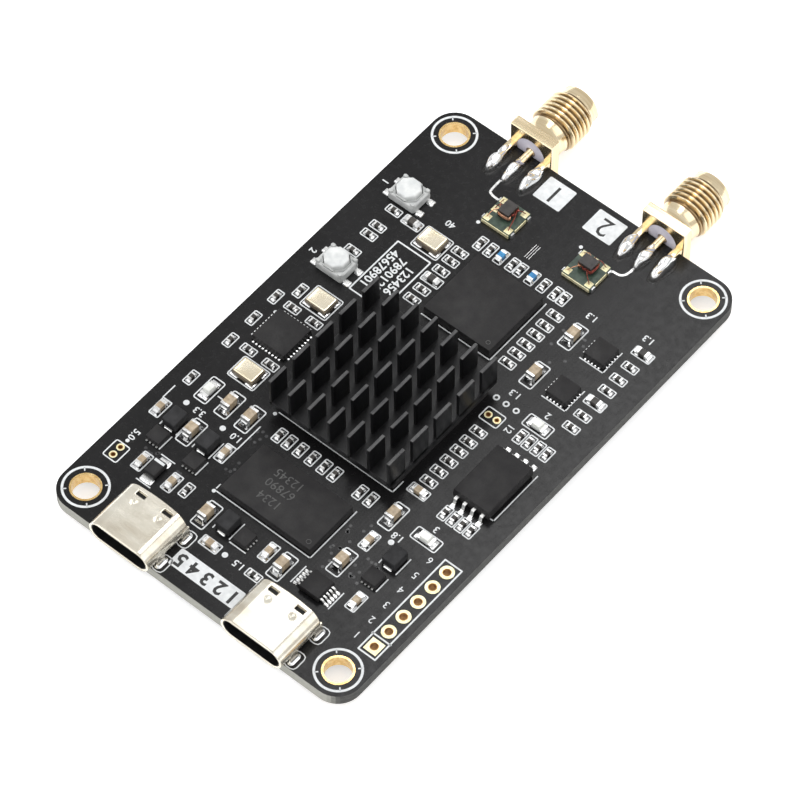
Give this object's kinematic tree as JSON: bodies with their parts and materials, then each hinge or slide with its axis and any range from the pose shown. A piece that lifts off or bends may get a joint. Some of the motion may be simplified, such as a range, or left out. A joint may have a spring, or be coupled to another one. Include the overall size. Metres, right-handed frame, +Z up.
{
  "type": "radio receiver and spectrum analyser board",
  "caption": "Bare radio transceiver board used as a spectrum analyser: coaxial jacks on one end, USB-C sockets on the other, pin-fin heat sink between, push buttons.",
  "frame": {"origin": "centre of the four mounting holes, on the board's underside", "axes": "+Y along the board's length towards the coaxial jacks, -Y towards the USB sockets, +Z up out of the parts side, +X to the right when looking along +Y"},
  "size_m": [0.0446, 0.0837, 0.0092],
  "materials": {
    "solder_mask": "satin black solder mask over glass laminate",
    "chip_epoxy": "matte moulded epoxy",
    "thermal_rubber": "soft matte filled silicone",
    "black_anodised": "black anodised extrusion with sawn fin tips",
    "ferrite": "dull pressed ferrite",
    "crystal_can": "pale gold plated lid on a ceramic package",
    "light_body": "clear and white moulded lamp body",
    "capacitor_ceramic": "tan sintered ceramic with tinned ends",
    "green_laminate": "green glass laminate",
    "switch_plastic": "white moulded nylon",
    "spring_steel": "bright spring steel",
    "button_plastic": "white moulded nylon, slightly translucent",
    "nickel_shell": "nickel plated stamped shell",
    "black_plastic": "black moulded insulator",
    "gold_plate": "gold plated turned brass",
    "white_insulator": "waxy fluoropolymer",
    "bright_solder": "bright reflowed solder and tinned leads",
    "white_print": "white screen-printed ink",
    "enamelled_copper": "red enamelled copper winding wire"
  },
  "bodies": {
    "board": {"circuit_board": "solder_mask", "soc_chip": "chip_epoxy", "transceiver_chip": "chip_epoxy", "memory_chip": "chip_epoxy", "usb_link_chip": "chip_epoxy", "transmit_regulator": "chip_epoxy", "receive_regulator": "chip_epoxy", "converter_1": "chip_epoxy", "converter_2": "chip_epoxy", "converter_3": "chip_epoxy", "converter_4": "chip_epoxy", "flash_chip": "chip_epoxy", "usb_power_switch": "chip_epoxy", "thermal_pad": "thermal_rubber", "heat_sink": "black_anodised", "inductor_1": "ferrite", "inductor_2": "ferrite", "inductor_3": "ferrite", "inductor_4": "ferrite", "reference_oscillator": "crystal_can", "usb_crystal": "crystal_can", "soc_crystal": "crystal_can", "power_light": "light_body", "status_light": "light_body", "done_light": "light_body", "capacitor_1": "capacitor_ceramic", "capacitor_2": "capacitor_ceramic", "capacitor_3": "capacitor_ceramic", "capacitor_4": "capacitor_ceramic", "capacitor_5": "capacitor_ceramic", "capacitor_6": "capacitor_ceramic", "capacitor_7": "capacitor_ceramic", "capacitor_8": "capacitor_ceramic", "capacitor_9": "capacitor_ceramic", "input_diode": "chip_epoxy", "transmit_transformer_base": "green_laminate", "transmit_transformer_core": "ferrite", "receive_transformer_base": "green_laminate", "receive_transformer_core": "ferrite", "user_switch_base": "switch_plastic", "user_switch_frame": "switch_plastic", "user_switch_dome": "spring_steel", "reset_switch_base": "switch_plastic", "reset_switch_frame": "switch_plastic", "reset_switch_dome": "spring_steel", "left_usb_shell": "nickel_shell", "left_usb_insert": "black_plastic", "right_usb_shell": "nickel_shell", "right_usb_insert": "black_plastic", "transmit_jack_body": "gold_plate", "transmit_jack_insulator": "white_insulator", "transmit_jack_contact": "gold_plate", "receive_jack_body": "gold_plate", "receive_jack_insulator": "white_insulator", "receive_jack_contact": "gold_plate"},
    "user_button": {"user_button": "button_plastic"},
    "reset_button": {"reset_button": "button_plastic"}
  },
  "joints": [
    {"name": "user_button_press", "type": "slide", "parent": "board", "child": "user_button", "axis": [0, 0, 1], "range_m": [-0.00025, 0], "stiffness_N_per_m": 4000, "deforming": ["user_switch_dome"]},
    {"name": "reset_button_press", "type": "slide", "parent": "board", "child": "reset_button", "axis": [0, 0, 1], "range_m": [-0.00025, 0], "stiffness_N_per_m": 4000, "deforming": ["reset_switch_dome"]}
  ]
}
